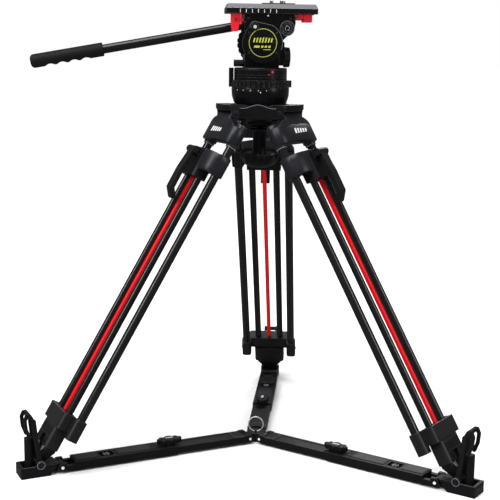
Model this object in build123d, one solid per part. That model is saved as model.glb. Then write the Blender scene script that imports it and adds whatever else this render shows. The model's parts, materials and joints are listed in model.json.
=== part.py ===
from build123d import *
import math
import os

# A three-legged camera stand with a fluid head, in millimetres, +Z up.
# The origin is on the floor under the centre of the floor spreader.
# Legs: a at the rear (+Y), b at the front left, c at the front right.

# ------------------------------------------------------------ driving sizes
LEG_AZIMUTHS = {"a": 90, "b": 210, "c": 330}
HINGE_R, HINGE_Z = 60.0, 597.0          # leg hinge on the crown
FOOT_R, FOOT_Z = 407.0, 20.0            # foot pivot in its shoe
PIN_R, PIN_Z = 370.0, 10.0              # pin that ties a shoe to its spreader arm
ARM_HINGE_R, ARM_HINGE_Z = 19.0, 10.0   # spreader arm hinge on the hub
RUN = 0.06                              # running clearance of shafts and tubes
GAP = 0.3                               # clearance between pieces that pass each other

# leg section, measured outboard (x), along the spreader pin direction (y)
OUTER_TUBE_X, OUTER_TUBE_Y, OUTER_TUBE_R = -12.0, 47.0, 7.5
INNER_TUBE_X, INNER_TUBE_Y, INNER_TUBE_R = 3.0, 23.0, 6.25
LOWER_TUBE_R = 5.0
TUBE_WALL = 1.25
ROD_R, ROD_START, ROD_END = 4.0, 96.0, 620.0
LEG_HALF = 57.0                         # half width of the castings across the leg
LEG_BACK, LEG_FRONT = -22.5, 9.0        # inboard and outboard faces of the yoke
NECK_BACK, NECK_FRONT = -8.5, 6.0       # inboard and outboard faces of the yoke's neck

# distances down the leg from its hinge
YOKE_TOP, YOKE_END = 18.0, 49.0
COLLAR_TOP, COLLAR_END, LOBE_END = 73.0, 108.0, 124.0
BRIDGE_TOP, BRIDGE_MID, BRIDGE_END = 574.0, 601.5, 611.0
BLOCK_TOP, BLOCK_END = 602.0, 640.0
FOOT_TOP, FOOT_WAIST = 640.5, 664.0
LEVER_PIVOT = (28.0, 82.0)              # outboard, down the leg

# crown, bowl and levelling ball
BALL_R, BALL_Z = 37.5, 618.5
CROWN_TOP, CROWN_RIM_R = 611.0, 41.0
SHOULDER_R, SHOULDER_HALF = 75.0, 28.0
SHOULDER_BOTTOM, SHOULDER_TOP = 606.3, 617.0
WALL_R, WALL_HALF, WALL_BOTTOM = 51.5, 30.0, 593.0
TONGUE_HALF, EAR_HALF, EAR_R, HINGE_PIN_R = 11.5, 27.0, 8.5, 4.0
KNOB_BOTTOM, KNOB_TOP, KNOB_R = 503.0, 525.0, 26.0

# fluid head: X is the lens direction, turned from the stand's own X by HEAD_TURN
HEAD_TURN = 10.5
BASE_BOTTOM, BASE_TOP = 618.0, 645.4
RING_BOTTOM, RING_TOP, RING_R = 645.7, 657.5, 50.5
HOUSING_BOTTOM, HOUSING_TOP, HOUSING_R = 657.9, 679.0, 46.0
TILT_Z = 721.0
CHEEK_IN, CHEEK_OUT, CHEEK_R = 18.2, 25.0, 30.0
COVER_R, COVER_FACE = 35.0, 32.0
DIAL_R = 38.5
FRONT_DIAL_Z, FRONT_DIAL_R = 697.5, 17.5
ROSETTE_X, ROSETTE_Z, ROSETTE_R = 42.0, 746.0, 13.0
PLATFORM_X = (-31.0, 57.0)
PLATFORM_BOTTOM, PLATFORM_TOP = 755.0, 770.1
PLATE_X = (-62.0, 95.0)
PLATE_BOTTOM, PLATE_STEP, PLATE_TOP, PLATE_HALF = 770.4, 779.0, 786.5, 29.0
PAD_X, PAD_TOP, SCREW_TOP = (0.0, 56.0), 788.0, 793.0
BAR_Y, BAR_R = 46.0, 8.0
BAR_FRONT, BAR_REAR = (50.0, 766.2), (-388.0, 685.8)
GRIP_LENGTH, GRIP_R = 128.0, 12.0

# spreader
ARM_HALF, ARM_BOTTOM, ARM_TOP = 18.6, 2.5, 17.5
BAR_HALF, BAR_BOTTOM, BAR_TOP = 17.2, 3.8, 16.2
BAR_END, SLEEVE_START, SLEEVE_CAVITY = 206.0, 162.0, 341.0
FORK_START, FORK_HALF = 348.0, 10.6
SHOE_END, SHOE_TOP, SHOE_WALL = 441.0, 19.0, 14.5
POST_R, POST_AT, POST_TOP = 7.5, 423.0, 65.5
POCKET_X, POCKET_HALF, POCKET_TOP = 7.6, 8.4, 624.0   # room for the post when the leg is folded
WING_AT = 171.0
RING_MAJOR, RING_MINOR, RING_EYE_Z = 13.6, 0.9, 17.2

LEAN = math.degrees(math.atan2(FOOT_R - HINGE_R, HINGE_Z - FOOT_Z))
LEG_LENGTH = math.hypot(FOOT_R - HINGE_R, HINGE_Z - FOOT_Z)


# ------------------------------------------------------------ helpers
def block(x, y, z):
    """A box between pairs of limits along X, Y and Z."""
    size = [b - a for a, b in (x, y, z)]
    centre = [(a + b) / 2 for a, b in (x, y, z)]
    return Pos(*centre) * Box(*size)


def rod_z(radius, x, y, z):
    """A cylinder along Z between two heights."""
    return Pos(x, y, (z[0] + z[1]) / 2) * Cylinder(radius, z[1] - z[0])


def rod_y(radius, x, z, y):
    """A cylinder along Y between two places."""
    return Pos(x, (y[0] + y[1]) / 2, z) * Rot(90, 0, 0) * Cylinder(radius, y[1] - y[0])


def rod_x(radius, y, z, x):
    """A cylinder along X between two places."""
    return Pos((x[0] + x[1]) / 2, y, z) * Rot(0, 90, 0) * Cylinder(radius, x[1] - x[0])


def slab(outline, y):
    """A sketch drawn in X and Z, given thickness along Y between two places."""
    return Pos(0, y[1], 0) * Rot(90, 0, 0) * extrude(outline, y[1] - y[0], dir=(0, 0, 1))


def strip(points, width):
    """A sketch of a bent bar of even width with round ends and corners."""
    shape = Sketch()
    for (ax, ay), (bx, by) in zip(points, points[1:]):
        length = math.hypot(bx - ax, by - ay)
        turn = math.degrees(math.atan2(by - ay, bx - ax))
        shape += Pos((ax + bx) / 2, (ay + by) / 2) * Rot(0, 0, turn) * Rectangle(length, width)
    for point in points:
        shape += Pos(*point) * Circle(width / 2)
    return shape


def softened(shape, edges, radius):
    """The shape with these edges rounded, or as it was where they can't be."""
    try:
        return fillet(edges, radius)
    except Exception:
        return shape


def group(*shapes):
    """Separate solids that share one node."""
    return Compound([solid for shape in shapes for solid in shape.solids()])


def in_leg(shape, azimuth):
    """Put a piece drawn in leg coordinates (outboard, across, up the leg) in its place."""
    return Rot(0, 0, azimuth) * Pos(HINGE_R, 0, HINGE_Z) * Rot(0, -LEAN, 0) * shape


def on_floor(shape, azimuth):
    """Put a piece drawn along +X under leg azimuth 0 in its place."""
    return Rot(0, 0, azimuth) * shape


def in_head(shape):
    """Turn a piece drawn in head coordinates to the head's rest direction."""
    return Rot(0, 0, HEAD_TURN) * shape


def save(name, shape):
    """Write one sub-part to its STEP file."""
    export_step(shape, f"parts/{name}.step")


def both(make):
    """A piece and its mirror image across the middle of the leg."""
    return make(1) + make(-1)


# ------------------------------------------------------------ legs
def casting_lugs(top, end):
    """The two side lugs and the middle web that every leg casting shares."""
    lugs = both(lambda s: block((LEG_BACK, -1.5), sorted((s * 38, s * LEG_HALF)), (-end, -top)))
    lugs = softened(lugs, lugs.edges().filter_by(Axis.Z), 6.0)
    web = block((-6, 17), (-42, 42), (-end, -top))
    return lugs + softened(web, web.edges().filter_by(Axis.Z), 5.0)


def make_yoke():
    body = block((LEG_BACK, LEG_FRONT), (-LEG_HALF, LEG_HALF), (-YOKE_END, -YOKE_TOP))
    body = softened(body, body.edges().filter_by(Axis.X), 7.0)
    body = softened(body, body.faces().sort_by(Axis.X)[-1].edges(), 4.0)
    ears = both(lambda s: block((-EAR_R, EAR_R), sorted((s * 12, s * EAR_HALF)), (-YOKE_TOP - 4, 0)))
    eyes = both(lambda s: rod_y(EAR_R, 0, 0, sorted((s * 12, s * EAR_HALF))))
    neck = Polygon((EAR_HALF, -8), (35, -10), (LEG_HALF - 9, -YOKE_TOP - 2), (EAR_HALF - 2, -YOKE_TOP - 2), align=None)
    necks = both(lambda s: Rot(0, 0, 90) * slab(neck, (-NECK_FRONT, -NECK_BACK)) if s > 0
                 else mirror(Rot(0, 0, 90) * slab(neck, (-NECK_FRONT, -NECK_BACK)), Plane.XZ))
    body += ears + eyes + necks
    body -= rod_y(HINGE_PIN_R + RUN, 0, 0, (-60, 60))
    body -= both(lambda s: rod_z(OUTER_TUBE_R, OUTER_TUBE_X, s * OUTER_TUBE_Y, (-YOKE_END - 1, -24)))
    body -= block((-30, -9), (-34, 34), (-YOKE_END - 1, -YOKE_TOP - 7))
    return body


def make_outer_frame():
    bridge = casting_lugs(BRIDGE_TOP, BRIDGE_MID)
    lugs = both(lambda s: block((LEG_BACK, -1.5), sorted((s * 38, s * LEG_HALF)), (-BRIDGE_END, -BRIDGE_MID)))
    bridge += softened(lugs, lugs.edges().filter_by(Axis.Z), 6.0)
    bridge -= both(lambda s: rod_z(OUTER_TUBE_R, OUTER_TUBE_X, s * OUTER_TUBE_Y, (-BRIDGE_END + 3, 0)))
    bridge -= both(lambda s: rod_z(INNER_TUBE_R + RUN, INNER_TUBE_X, s * INNER_TUBE_Y, (-BRIDGE_END, 0)))
    bridge -= rod_z(ROD_R + GAP, INNER_TUBE_X, 0, (-BRIDGE_END, 0))
    tubes = []
    for side in (1, -1):
        span = (-BRIDGE_END + 3, -24)
        tube = rod_z(OUTER_TUBE_R, OUTER_TUBE_X, side * OUTER_TUBE_Y, span)
        tubes.append(tube - rod_z(OUTER_TUBE_R - TUBE_WALL, OUTER_TUBE_X, side * OUTER_TUBE_Y, span))
    return group(bridge, *tubes)


def make_collar():
    half = [(LEG_BACK + 6, LEG_HALF), (-9, LEG_HALF), (2, 54), (12, 44), (17, 30)]
    outline = half + [(x, -y) for x, y in reversed(half)]
    outline += [(LEG_BACK, -LEG_HALF + 6), (LEG_BACK, -41), (LEG_BACK + 3, -38), (-6, -34)]
    outline += [(-6, 34), (LEG_BACK + 3, 38), (LEG_BACK, 41), (LEG_BACK, LEG_HALF - 6)]
    body = Pos(0, 0, -COLLAR_END) * extrude(Polygon(*outline, align=None), COLLAR_END - COLLAR_TOP, dir=(0, 0, 1))
    lobe = block((-6, 20), (-32, 32), (-LOBE_END, -COLLAR_TOP))
    lobe = softened(lobe, lobe.edges().filter_by(Axis.Z).sort_by(Axis.X)[-2:], 9.0)
    body += lobe
    cheeks = both(lambda s: slab(strip([(18, -82), (LEVER_PIVOT[0], -LEVER_PIVOT[1])], 13), sorted((s * 9.2, s * 15))))
    body += cheeks
    body -= both(lambda s: rod_z(OUTER_TUBE_R + RUN, OUTER_TUBE_X, s * OUTER_TUBE_Y, (-200, 0)))
    body -= both(lambda s: rod_z(INNER_TUBE_R, INNER_TUBE_X, s * INNER_TUBE_Y, (-200, -100)))
    body -= rod_z(ROD_R + RUN, INNER_TUBE_X, 0, (-200, -ROD_START))
    body -= rod_y(2.5 + RUN, LEVER_PIVOT[0], -LEVER_PIVOT[1], (-20, 20))
    return body


def make_inner_frame():
    body = block((-10, 16), (-31, 31), (-BLOCK_END, -BLOCK_TOP))
    body = softened(body, body.edges().filter_by(Axis.Z), 6.0)
    tubes = []
    for side in (1, -1):
        place = (INNER_TUBE_X, side * INNER_TUBE_Y)
        body -= rod_z(INNER_TUBE_R, *place, (-625, 0))
        body -= rod_z(LOWER_TUBE_R, *place, (-700, 0))
        tube = rod_z(INNER_TUBE_R, *place, (-625, -100))
        tubes.append(tube - rod_z(LOWER_TUBE_R, *place, (-700, 0)))
    body -= rod_z(ROD_R + RUN, INNER_TUBE_X, 0, (-ROD_END, 0))
    body -= block((POCKET_X, 30), (-POCKET_HALF, POCKET_HALF), (-BLOCK_END - 1, -POCKET_TOP))
    return group(body, *tubes)


def make_lock_rod():
    return rod_z(ROD_R, INNER_TUBE_X, 0, (-ROD_END, -ROD_START))


def make_lock_lever():
    x, u = LEVER_PIVOT
    body = slab(strip([(x, -u), (x + 3.5, -u - 40), (x + 3, -u - 76), (x - 7, -u - 88)], 9), (-8.5, 8.5))
    body = softened(body, body.edges().group_by(Axis.Y)[-1] + body.edges().group_by(Axis.Y)[0], 1.5)
    body += rod_y(6.3, x, -u, (-8.8, 8.8))
    return body + rod_y(2.5, x, -u, (-14.8, 14.8))


def make_foot():
    waist = -FOOT_WAIST
    shoulder = block((-10, 12), (-25, 25), (-645, -FOOT_TOP))
    shoulder = softened(shoulder, shoulder.edges().filter_by(Axis.Z), 5.0)
    upper = Pos(1, 0, -645) * Rectangle(20, 46)
    lower = Pos(-2.5, 0, waist) * Rectangle(9, 17.6)
    body = shoulder + loft([upper, lower])
    body += block((-7, 2), (-8.8, 8.8), (-LEG_LENGTH, waist))
    body += rod_y(6.6, 0, -LEG_LENGTH, (-8.8, 8.8))
    body -= rod_y(3 + RUN, 0, -LEG_LENGTH, (-30, 30))
    body -= block((POCKET_X, 30), (-POCKET_HALF, POCKET_HALF), (-LEG_LENGTH, 0))
    tubes = []
    for side in (1, -1):
        place = (INNER_TUBE_X, side * INNER_TUBE_Y)
        tube = rod_z(LOWER_TUBE_R - RUN, *place, (-FOOT_TOP, -205))
        tubes.append(tube - rod_z(LOWER_TUBE_R - TUBE_WALL, *place, (-700, 0)))
    return group(body, *tubes)


def make_shoe():
    nose_r = 6.5
    outline = Polygon((PIN_R + 7.75, SHOE_TOP), (SHOE_END, SHOE_TOP), (SHOE_END, 0), (PIN_R + 22, 0), align=None)
    body = slab(outline, (-ARM_HALF, ARM_HALF))
    body += rod_y(8, FOOT_R, FOOT_Z, (-ARM_HALF, ARM_HALF))
    body -= block((396, 436), (-SHOE_WALL, SHOE_WALL), (4, 60))
    body += rod_y(nose_r, PIN_R, PIN_Z, (-10, 10))
    body += block((PIN_R, 396), (-10, 10), (PIN_Z - nose_r, PIN_Z + nose_r))
    hole = 3 + GAP
    body -= rod_y(hole, PIN_R, PIN_Z, (-10, 10))
    mouth = Polygon((PIN_R - hole, PIN_Z), (PIN_R + hole, PIN_Z), (PIN_R + 13, -5), (PIN_R - hole, -5), align=None)
    body -= slab(mouth, (-10, 10))
    body += rod_z(POST_R, POST_AT, 0, (3.5, POST_TOP))
    body += rod_y(3, FOOT_R, FOOT_Z, (-ARM_HALF + 1, ARM_HALF - 1))
    return body


def make_strap():
    side = strip([(FOOT_R, FOOT_Z), (FOOT_R + 5.5, 55), (FOOT_R + 9.5, 96)], 7.5)
    side += strip([(FOOT_R + 10, 96), (FOOT_R + 15, 106), (FOOT_R + 20.5, 107.5), (FOOT_R + 24, 100),
                   (FOOT_R + 22.5, 84), (FOOT_R + 17.5, 70)], 5.5)
    body = both(lambda s: slab(side, sorted((s * 9.4, s * 14.1))))
    body += rod_y(4.2, FOOT_R + 17, 106, (-14.1, 14.1))
    body += both(lambda s: rod_y(6.2, FOOT_R, FOOT_Z, sorted((s * 9.4, s * 14.1))))
    return body - rod_y(3 + RUN, FOOT_R, FOOT_Z, (-30, 30))


# ------------------------------------------------------------ spreader
def make_arm_inner():
    body = block((ARM_HINGE_R, BAR_END), (-BAR_HALF, BAR_HALF), (BAR_BOTTOM, BAR_TOP))
    body += rod_y(6.2, ARM_HINGE_R, ARM_HINGE_Z, (-BAR_HALF, BAR_HALF))
    body -= block((0, 28), (-8.3, 8.3), (0, 30))
    body -= rod_y(3 + RUN, ARM_HINGE_R, ARM_HINGE_Z, (-30, 30))
    panel = block((50, 156), (-12, 12), (BAR_TOP - 1.2, 30))
    body -= panel
    cover = block((ARM_HINGE_R, 29), (-BAR_HALF, BAR_HALF), (BAR_TOP, ARM_TOP))
    return body + (cover - block((0, 28), (-8.3, 8.3), (0, 30)))


def make_arm_outer():
    body = block((SLEEVE_START, PIN_R), (-ARM_HALF, ARM_HALF), (ARM_BOTTOM, ARM_TOP))
    body += rod_y(7.5, PIN_R, PIN_Z, (-ARM_HALF, ARM_HALF))
    cavity = (-BAR_HALF - 0.2, BAR_HALF + 0.2), (BAR_BOTTOM - 0.2, BAR_TOP + 0.2)
    body -= block((0, SLEEVE_CAVITY), *cavity)
    body -= block((FORK_START, 400), (-FORK_HALF, FORK_HALF), (0, 30))
    body -= block((FORK_START - 0.5, PIN_R - 7.7), (-20, 20), (ARM_TOP - 5.0, 30))
    body += rod_z(9, WING_AT, 0, (BAR_TOP + 0.2, ARM_TOP + 1.5))
    body -= rod_z(2.5 + RUN, WING_AT, 0, (0, 40))
    for start, end in ((196, 272), (304, 346)):
        plate = block((start, end), (-14, 14), (ARM_TOP - 0.5, ARM_TOP + 1.2))
        body += softened(plate, plate.faces().sort_by(Axis.Z)[-1].edges(), 0.8)
    body -= block((276, 300), (-10, 10), (BAR_TOP, 30))
    pin = rod_y(3, PIN_R, PIN_Z, (-ARM_HALF, ARM_HALF))
    body -= pin
    return group(body, pin)


def make_wing_knob():
    bottom, top = ARM_TOP + 1.8, ARM_TOP + 12
    wings = Ellipse(19, 9)
    for place in range(0, 360, 45):
        angle = math.radians(place)
        wings += Pos(18.5 * math.cos(angle), 7.5 * math.sin(angle)) * Circle(4.6)
    body = Pos(WING_AT, 0, bottom + 1) * extrude(wings, top - bottom - 2)
    body = softened(body, body.edges().group_by(Axis.Z)[-1], 1.5)
    body += rod_z(9.5, WING_AT, 0, (bottom, top))
    return body + rod_z(2.5, WING_AT, 0, (BAR_TOP + 0.3, bottom + 3))


def make_hub():
    body = rod_z(11, 0, 0, (0, 14))
    for azimuth in LEG_AZIMUTHS.values():
        tongue = block((0, ARM_HINGE_R), (-8, 8), (4, 16)) + rod_y(6, ARM_HINGE_R, ARM_HINGE_Z, (-8, 8))
        tongue += rod_y(3, ARM_HINGE_R, ARM_HINGE_Z, (-BAR_HALF, BAR_HALF))
        body += on_floor(tongue, azimuth)
    post = block((-2, 2), (-2.8, 2.8), (12, RING_EYE_Z + 2.8))
    return body + post - rod_x(1.5, 0, RING_EYE_Z, (-5, 5))


def make_pull_ring():
    return Pos(0, 0, RING_EYE_Z + RING_MAJOR) * Rot(90, 0, 0) * Torus(RING_MAJOR, RING_MINOR)


# ------------------------------------------------------------ crown and bowl
def make_crown_wall():
    """The wall between two shoulders, with an arched top edge."""
    wall = block((30, WALL_R), (-WALL_HALF, WALL_HALF), (WALL_BOTTOM, SHOULDER_TOP - 0.5))
    wall = softened(wall, wall.edges().filter_by(Axis.Z).sort_by(Axis.X)[-2:], 4.0)
    arch = Pos(0, SHOULDER_TOP - 0.5 - 96) * Circle(96)
    return wall & Rot(0, 0, 90) * slab(arch, (-WALL_R - 1, 0))


def make_crown():
    body = rod_z(CROWN_RIM_R, 0, 0, (596, CROWN_TOP))
    ball = Pos(0, 0, BALL_Z) * Sphere(BALL_R + 3)
    body += ball & rod_z(60, 0, 0, (570, 600))
    for azimuth in LEG_AZIMUTHS.values():
        shoulder = block((34, SHOULDER_R), (-SHOULDER_HALF, SHOULDER_HALF), (SHOULDER_BOTTOM, SHOULDER_TOP))
        shoulder &= rod_z(SHOULDER_R, 0, 0, (500, 700))
        shoulder = softened(shoulder, shoulder.edges().group_by(Axis.Z)[-1], 3.0)
        gusset = block((30, 48), (-SHOULDER_HALF, SHOULDER_HALF), (597, SHOULDER_BOTTOM + 1))
        tongue = block((32, HINGE_R), (-TONGUE_HALF, TONGUE_HALF), (HINGE_Z - EAR_R, SHOULDER_BOTTOM + 1))
        tongue += rod_y(EAR_R, HINGE_R, HINGE_Z, (-TONGUE_HALF, TONGUE_HALF))
        piece = shoulder + gusset + tongue
        piece -= rod_y(HINGE_PIN_R, HINGE_R, HINGE_Z, (-60, 60))
        body += on_floor(piece, azimuth)
        body += on_floor(make_crown_wall(), azimuth + 60)
    body -= rod_z(47.5, 0, 0, (CROWN_TOP, 640))
    body -= Pos(0, 0, BALL_Z) * Sphere(BALL_R + GAP)
    return body - rod_z(15, 0, 0, (560, 600))


def make_hinge_pins():
    pins = []
    for azimuth in LEG_AZIMUTHS.values():
        pin = rod_y(HINGE_PIN_R, HINGE_R, HINGE_Z, (-EAR_HALF - 0.3, EAR_HALF + 0.3))
        pin += both(lambda s: rod_y(6.5, HINGE_R, HINGE_Z, sorted((s * (EAR_HALF + 0.3), s * (EAR_HALF + 2.3)))))
        pins.append(on_floor(pin, azimuth))
    return group(*pins)


def make_cup_washer():
    shell = Pos(0, 0, BALL_Z) * Sphere(BALL_R + 6.5)
    shell -= Pos(0, 0, BALL_Z) * Sphere(BALL_R + 3 + GAP)
    shell = shell & rod_z(24, 0, 0, (560, 600))
    return shell - rod_z(14.5, 0, 0, (560, 600))


def make_half_ball():
    ball = Pos(0, 0, BALL_Z) * Sphere(BALL_R)
    ball = ball & rod_z(60, 0, 0, (590, BASE_BOTTOM))
    return ball + rod_z(6, 0, 0, (515, 592))


def make_tie_down_knob():
    knob = rod_z(KNOB_R, 0, 0, (KNOB_BOTTOM, KNOB_TOP))
    knob = softened(knob, knob.edges().group_by(Axis.Z)[0], 13.0)
    knob = softened(knob, knob.edges().group_by(Axis.Z)[-1], 2.0)
    knob += rod_z(9.5, 0, 0, (KNOB_TOP - 2, 571.5))
    for turn in range(0, 360, 45):
        knob -= Rot(0, 0, turn) * rod_z(4, KNOB_R + 2.4, 0, (490, KNOB_TOP - 3))
    return knob - rod_z(6 + RUN, 0, 0, (514, 600))


# ------------------------------------------------------------ fluid head
def make_pan_base():
    profile = Polygon((0, 618), (45, 618), (48.5, 640), (48.5, BASE_TOP), (20, BASE_TOP), (20, RING_TOP + 0.2),
                      (0, RING_TOP + 0.2), align=None)
    body = revolve(Plane.XZ * profile, Axis.Z)
    return body - rod_z(12 + RUN, 0, 0, (646, 700))


def make_drag_ring():
    body = rod_z(RING_R, 0, 0, (RING_BOTTOM, RING_TOP)) - rod_z(20 + GAP, 0, 0, (600, 700))
    for turn in range(0, 360, 10):
        body -= Rot(0, 0, turn) * rod_z(1.6, RING_R + 0.7, 0, (RING_BOTTOM + 2.5, RING_TOP - 2))
    long_lug = block((-55, -47.3), (-6, 6), (RING_BOTTOM, 678.5))
    short_lug = block((47.3, 54), (-7, 7), (RING_BOTTOM, RING_TOP))
    body += softened(long_lug, long_lug.edges().filter_by(Axis.Z), 2.0)
    return body + softened(short_lug, short_lug.edges().filter_by(Axis.Z), 2.0)


def make_pan_housing():
    ring = rod_z(HOUSING_R, 0, 0, (HOUSING_BOTTOM, HOUSING_TOP))
    ring = softened(ring, ring.edges().group_by(Axis.Z)[-1], 2.5)
    body = ring + rod_z(12, 0, 0, (646.4, HOUSING_BOTTOM))
    body += block((-30, 30), (-17.9, 17.9), (HOUSING_TOP - 1, 702))
    body += rod_y(32, 0, TILT_Z, (-17.9, 17.9))
    front = block((0, 39.5), (-15, 15), (683, 723.5))
    body += softened(front, front.edges().filter_by(Axis.Y).sort_by(Axis.X)[-2:], 2.5)
    body += rod_y(14, 0, TILT_Z, (-25.3, 25.3))
    body += rod_y(6, 0, TILT_Z, (20, 35.5))
    body += rod_x(2.5, 0, 686.3, (-46, -29))
    return body + rod_x(5, 0, FRONT_DIAL_Z, (39, 49))


def make_drum_cover():
    disc = Pos(0, TILT_Z) * Circle(COVER_R)
    ear = Pos(-14, 748) * Circle(10)
    outline = make_hull((disc + ear).edges())
    body = slab(outline, (-COVER_FACE, -25.3))
    body = softened(body, body.edges().group_by(Axis.Y)[0], 1.5)
    body -= rod_y(5.6, -14, 748, (-40, -COVER_FACE + 3))
    return body - (rod_y(24.5, 0, TILT_Z, (-40, -COVER_FACE + 0.8)) - rod_y(23.2, 0, TILT_Z, (-40, 0)))


def make_bubble_level():
    body = rod_y(5.5, -14, 748, (-COVER_FACE - 1.5, -COVER_FACE + 3))
    return softened(body, body.edges().group_by(Axis.Y)[0], 1.0)


def make_tilt_dial():
    body = rod_y(DIAL_R, 0, TILT_Z, (25.7, 35))
    body = softened(body, body.edges().group_by(Axis.Y)[-1], 2.0)
    for turn in range(0, 360, 15):
        notch = rod_z(2.4, DIAL_R + 0.8, 0, (0, 40))
        body -= Pos(0, 0, TILT_Z) * Rot(-90, 0, 0) * Rot(0, 0, turn) * notch
    return body - rod_y(6 + RUN, 0, TILT_Z, (0, 60))


def make_front_dial():
    body = rod_x(FRONT_DIAL_R, 0, FRONT_DIAL_Z, (40, 50))
    body = softened(body, body.edges().group_by(Axis.X)[-1], 2.0)
    for turn in range(0, 360, 30):
        notch = Rot(0, 0, turn) * rod_z(1.8, FRONT_DIAL_R + 0.6, 0, (42, 60))
        body -= Pos(0, 0, FRONT_DIAL_Z) * Rot(0, 90, 0) * notch
    return body - rod_x(5 + RUN, 0, FRONT_DIAL_Z, (30, 49.2))


def make_pan_lock():
    body = rod_x(6, 0, 686.3, (-46.8, -30.4))
    body = softened(body, body.edges().group_by(Axis.X)[0], 1.0)
    for turn in range(0, 360, 30):
        notch = Rot(0, 0, turn) * rod_z(0.8, 6.3, 0, (-45, -32))
        body -= Pos(0, 0, 686.3) * Rot(0, 90, 0) * notch
    return body - rod_x(2.5 + RUN, 0, 686.3, (-46.2, -20))


def make_platform():
    table = block(PLATFORM_X, (-CHEEK_OUT, CHEEK_OUT), (PLATFORM_BOTTOM, PLATFORM_TOP))
    table = softened(table, table.edges().filter_by(Axis.Z), 4.0)
    outline = Polygon((-31, 757), (57, 757), (55, 746), (44, 734), (25, 716), (-25, 721), (-31, 742), align=None)
    outline += Pos(0, TILT_Z) * Circle(CHEEK_R)
    outline += Pos(ROSETTE_X, ROSETTE_Z) * Circle(ROSETTE_R)
    body = table + both(lambda s: slab(outline, sorted((s * CHEEK_IN, s * CHEEK_OUT))))
    body += rod_y(ROSETTE_R - 1.5, ROSETTE_X, ROSETTE_Z, (-27.5, -CHEEK_OUT + 1))
    body += block((PLATFORM_X[0] + 3, PLATFORM_X[1] - 3), (-13.5, 13.5), (PLATFORM_TOP - 1, 774.5))
    body += block((-42, PLATFORM_X[0] + 1), (-19, -11), (757, 762)) + rod_z(4, -42, -15, (757, 762))
    body -= rod_y(14 + RUN, 0, TILT_Z, (-40, 40))
    body -= rod_y(4, ROSETTE_X, ROSETTE_Z, (-40, -20))
    body -= rod_y(3 + RUN, ROSETTE_X, ROSETTE_Z, (0, 40))
    body -= block((44, 60), (-6.3, 6.3), (760, 766))
    return body - rod_z(2.5 + RUN, -40, -15, (740, 769))


def make_camera_plate():
    length, middle = PLATE_X[1] - PLATE_X[0], sum(PLATE_X) / 2
    body = block(PLATE_X, (-PLATE_HALF, PLATE_HALF), (PLATE_BOTTOM, PLATE_STEP))
    body = softened(body, body.edges().filter_by(Axis.Z), 3.0)
    wide = Pos(middle, 0, PLATE_STEP) * RectangleRounded(length, 2 * PLATE_HALF, 3.0)
    narrow = Pos(middle, 0, PLATE_TOP) * RectangleRounded(length - 7, 2 * PLATE_HALF - 7, 2.0)
    body += loft([wide, narrow])
    body -= block((-100, 120), (-14, 14), (700, 775))
    body -= block((6, 50), (-5.2, 5.2), (775, 780))
    return body - block((12, 42), (-5, 5), (770, 800))


def make_pad():
    body = block(PAD_X, (-20, 20), (PLATE_TOP, PAD_TOP))
    body = softened(body, body.edges().filter_by(Axis.Z), 3.0)
    return body - block((12, 42), (-5, 5), (770, 800))


def make_camera_screws():
    screws = []
    for at, radius in ((17.3, 3.175), (36.7, 4.7625)):
        screw = rod_z(radius, at, 0, (PAD_TOP, SCREW_TOP)) + rod_z(radius - 0.3, at, 0, (779, PAD_TOP))
        screws.append(screw + rod_z(4.9, at, 0, (775.6, 780)))
    return group(*screws)


def make_lock_lever_plate():
    outline = Polygon((-54, 769.7), (-40, 769.7), (-40, 752), (-42, 740), (-52.5, 740), (-54, 756), align=None)
    body = slab(outline, (-22, -8)) + rod_z(7, -40, -15, (752, 769.7))
    body = softened(body, body.edges().group_by(Axis.X)[0], 2.0)
    body -= block((-47.5, -20), (-30, 0), (756.7, 762.3))
    return body + rod_z(2.5, -40, -15, (752, 769.0))


def make_release_tab():
    arm = block((50, 70), (-6, 6), (760.3, 765.7)) + block((61.5, 72), (-9, 9), (763, 769.7))
    tab = block((71, 88), (-10, 10), (757, 769.7))
    tab = softened(tab, tab.edges().filter_by(Axis.Z), 2.5)
    return arm + softened(tab, tab.edges().group_by(Axis.Z)[0], 1.5)


def bar_frame():
    """The pan bar's own axis: its front end and how it slopes down to the rear."""
    run = BAR_FRONT[0] - BAR_REAR[0]
    drop = BAR_FRONT[1] - BAR_REAR[1]
    return math.hypot(run, drop), math.degrees(math.atan2(drop, run))


def along_bar(shape):
    """Put a piece drawn down -X from the origin on the pan bar's axis."""
    slope = bar_frame()[1]
    return Pos(BAR_FRONT[0], BAR_Y, BAR_FRONT[1]) * Rot(0, -slope, 0) * shape


def make_pan_bar():
    length = bar_frame()[0]
    rod = rod_x(BAR_R, 0, 0, (-length + 5, 0))
    socket = rod_x(10, 0, 0, (-42, 1))
    body = along_bar(rod + softened(socket, socket.edges(), 1.5))
    body += rod_y(9.5, ROSETTE_X, ROSETTE_Z, (CHEEK_OUT + 0.2, BAR_Y + 9))
    body += block((ROSETTE_X - 8, ROSETTE_X + 8), (36, BAR_Y + 9), (ROSETTE_Z, ROSETTE_Z + 17))
    return body - rod_y(3 + RUN, ROSETTE_X, ROSETTE_Z, (0, 80))


def make_grip():
    length = bar_frame()[0]
    grip = rod_x(GRIP_R, 0, 0, (-length - 10, -length - 10 + GRIP_LENGTH))
    grip = softened(grip, grip.edges().group_by(Axis.X)[0], 7.0)
    grip = softened(grip, grip.edges().group_by(Axis.X)[-1], 2.0)
    for number in range(4):
        at = -length + 22 + number * 21
        grip -= Pos(at, 0, -22.5) * Rot(90, 0, 0) * Cylinder(13.5, 60)
    return along_bar(grip - rod_x(BAR_R, 0, 0, (-length + 5, 200)))


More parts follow.
